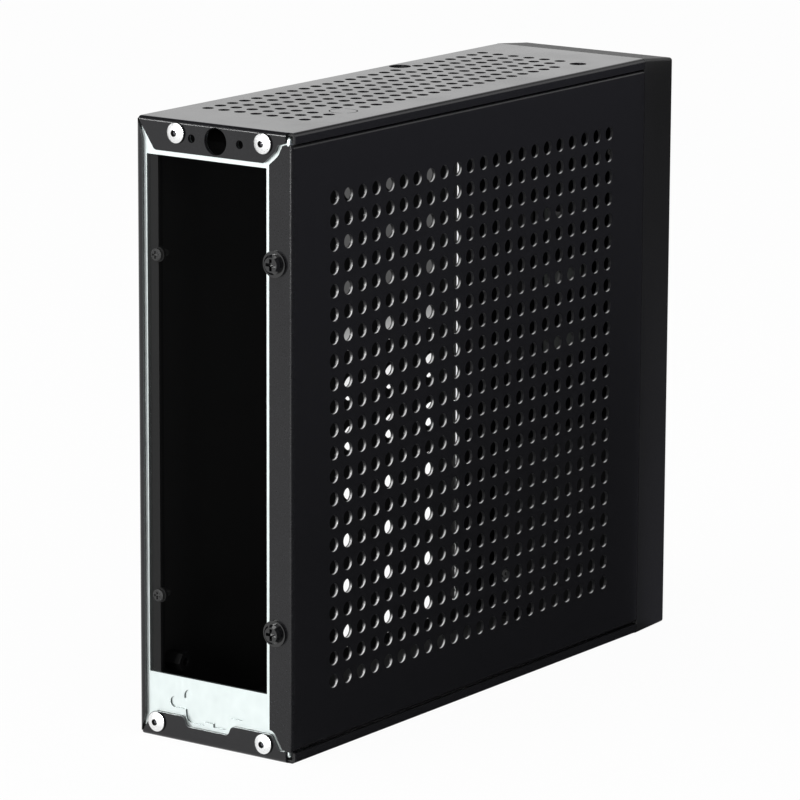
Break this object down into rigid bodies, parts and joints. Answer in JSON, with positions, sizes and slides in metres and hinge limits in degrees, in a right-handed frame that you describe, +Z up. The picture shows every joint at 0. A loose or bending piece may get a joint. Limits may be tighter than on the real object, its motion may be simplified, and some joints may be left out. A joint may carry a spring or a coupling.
{
  "type": "mini itx pc case",
  "caption": "Slim upright black sheet-metal computer case for a small square board, with perforated sides and top, a rear port opening and a front power button.",
  "frame": {"origin": "on the floor, under the middle of the case with its screws and button", "axes": "+Z up, +Y towards the rear with its port opening, +X towards the closed tray side; the perforated cover is at -X"},
  "size_m": [0.058, 0.2084, 0.19],
  "materials": {
    "black_shell": "gloss",
    "galvanised": "satin",
    "black_fastener": "satin",
    "rivet_metal": "satin",
    "front_plastic": "gloss",
    "button_plastic": "gloss",
    "circuit_board": "satin",
    "bright_steel": "satin",
    "tongue_plastic": "satin",
    "switch_plastic": "matt",
    "lamp_plastic": "gloss"
  },
  "bodies": {
    "case": {"outer_shell": "black_shell", "side_cover": "black_shell", "rear_frame": "galvanised", "rear_rivets": "rivet_metal", "cover_screws": "black_fastener", "tray_ledge": "black_shell", "ledge_screws": "black_fastener", "standoff_rail": "galvanised", "board_standoffs": "black_fastener", "front_frame": "black_shell", "frame_rivets": "black_fastener", "front_panel": "front_plastic", "panel_screws": "black_fastener", "front_board": "circuit_board", "board_screws": "bright_steel", "usb_shells": "bright_steel", "usb_tongues": "tongue_plastic", "power_switch": "switch_plastic", "board_leds": "lamp_plastic", "light_pipes": "lamp_plastic", "board_header": "switch_plastic", "drive_bracket": "black_shell", "bracket_screws": "bright_steel"},
    "button": {"power_button": "button_plastic", "switch_plunger": "switch_plastic"}
  },
  "joints": [
    {"name": "power_button_press", "type": "slide", "parent": "case", "child": "button", "axis": [0, 1, 0], "range_m": [0, 0.0012], "stiffness_N_per_m": 800, "springref_m": -0.001}
  ]
}
